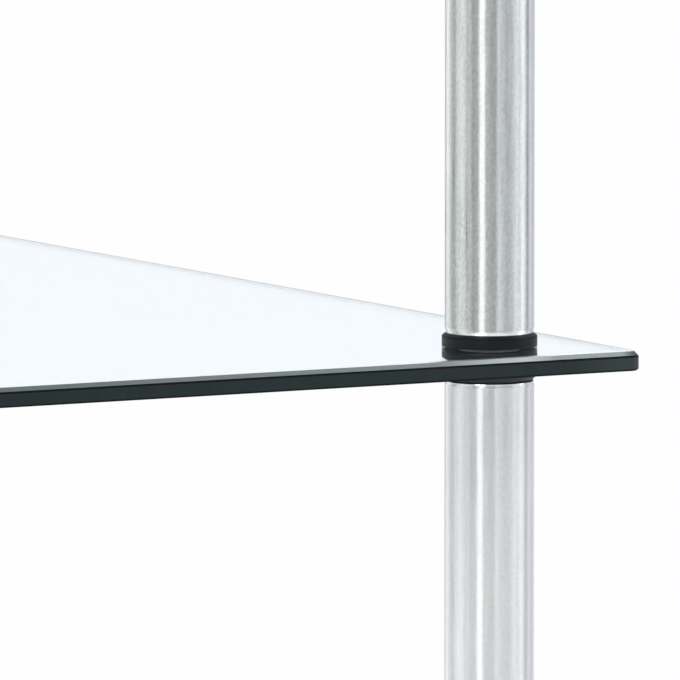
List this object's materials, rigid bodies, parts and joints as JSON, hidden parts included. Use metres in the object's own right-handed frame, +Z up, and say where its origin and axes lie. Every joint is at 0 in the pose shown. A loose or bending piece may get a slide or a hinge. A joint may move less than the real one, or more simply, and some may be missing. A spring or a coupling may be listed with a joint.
{
  "type": "glass etagere",
  "caption": "Square etagere of clear glass shelves on round brushed steel posts, with black plastic collars where each post passes the glass.",
  "frame": {"origin": "on the floor, in the middle of the footprint", "axes": "+Z up along the posts; +X along the front edge to the right and +Y from front to back, both along the shelf edges"},
  "size_m": [0.4, 0.4, 0.7075],
  "materials": {
    "glass": "clear tempered float glass, polished faces, ground edge that looks dark green-black",
    "brushed_steel": "stainless tube, fine grain along its length",
    "black_plastic": "moulded, satin",
    "zinc_steel": "bright zinc-plated steel stud"
  },
  "bodies": {
    "root": {"shelf_1": "glass", "shelf_2": "glass", "shelf_3": "glass", "foot_front_left": "black_plastic", "foot_tube_front_left": "brushed_steel", "tube_1_front_left": "brushed_steel", "tube_2_front_left": "brushed_steel", "plug_under_shelf_1_front_left": "black_plastic", "plug_over_shelf_1_front_left": "black_plastic", "plug_under_shelf_2_front_left": "black_plastic", "plug_over_shelf_2_front_left": "black_plastic", "plug_under_shelf_3_front_left": "black_plastic", "washer_front_left": "black_plastic", "cap_front_left": "brushed_steel", "stud_1_front_left": "zinc_steel", "stud_2_front_left": "zinc_steel", "stud_3_front_left": "zinc_steel", "foot_front_right": "black_plastic", "foot_tube_front_right": "brushed_steel", "tube_1_front_right": "brushed_steel", "tube_2_front_right": "brushed_steel", "plug_under_shelf_1_front_right": "black_plastic", "plug_over_shelf_1_front_right": "black_plastic", "plug_under_shelf_2_front_right": "black_plastic", "plug_over_shelf_2_front_right": "black_plastic", "plug_under_shelf_3_front_right": "black_plastic", "washer_front_right": "black_plastic", "cap_front_right": "brushed_steel", "stud_1_front_right": "zinc_steel", "stud_2_front_right": "zinc_steel", "stud_3_front_right": "zinc_steel", "foot_back_left": "black_plastic", "foot_tube_back_left": "brushed_steel", "tube_1_back_left": "brushed_steel", "tube_2_back_left": "brushed_steel", "plug_under_shelf_1_back_left": "black_plastic", "plug_over_shelf_1_back_left": "black_plastic", "plug_under_shelf_2_back_left": "black_plastic", "plug_over_shelf_2_back_left": "black_plastic", "plug_under_shelf_3_back_left": "black_plastic", "washer_back_left": "black_plastic", "cap_back_left": "brushed_steel", "stud_1_back_left": "zinc_steel", "stud_2_back_left": "zinc_steel", "stud_3_back_left": "zinc_steel", "foot_back_right": "black_plastic", "foot_tube_back_right": "brushed_steel", "tube_1_back_right": "brushed_steel", "tube_2_back_right": "brushed_steel", "plug_under_shelf_1_back_right": "black_plastic", "plug_over_shelf_1_back_right": "black_plastic", "plug_under_shelf_2_back_right": "black_plastic", "plug_over_shelf_2_back_right": "black_plastic", "plug_under_shelf_3_back_right": "black_plastic", "washer_back_right": "black_plastic", "cap_back_right": "brushed_steel", "stud_1_back_right": "zinc_steel", "stud_2_back_right": "zinc_steel", "stud_3_back_right": "zinc_steel"}
  },
  "joints": []
}
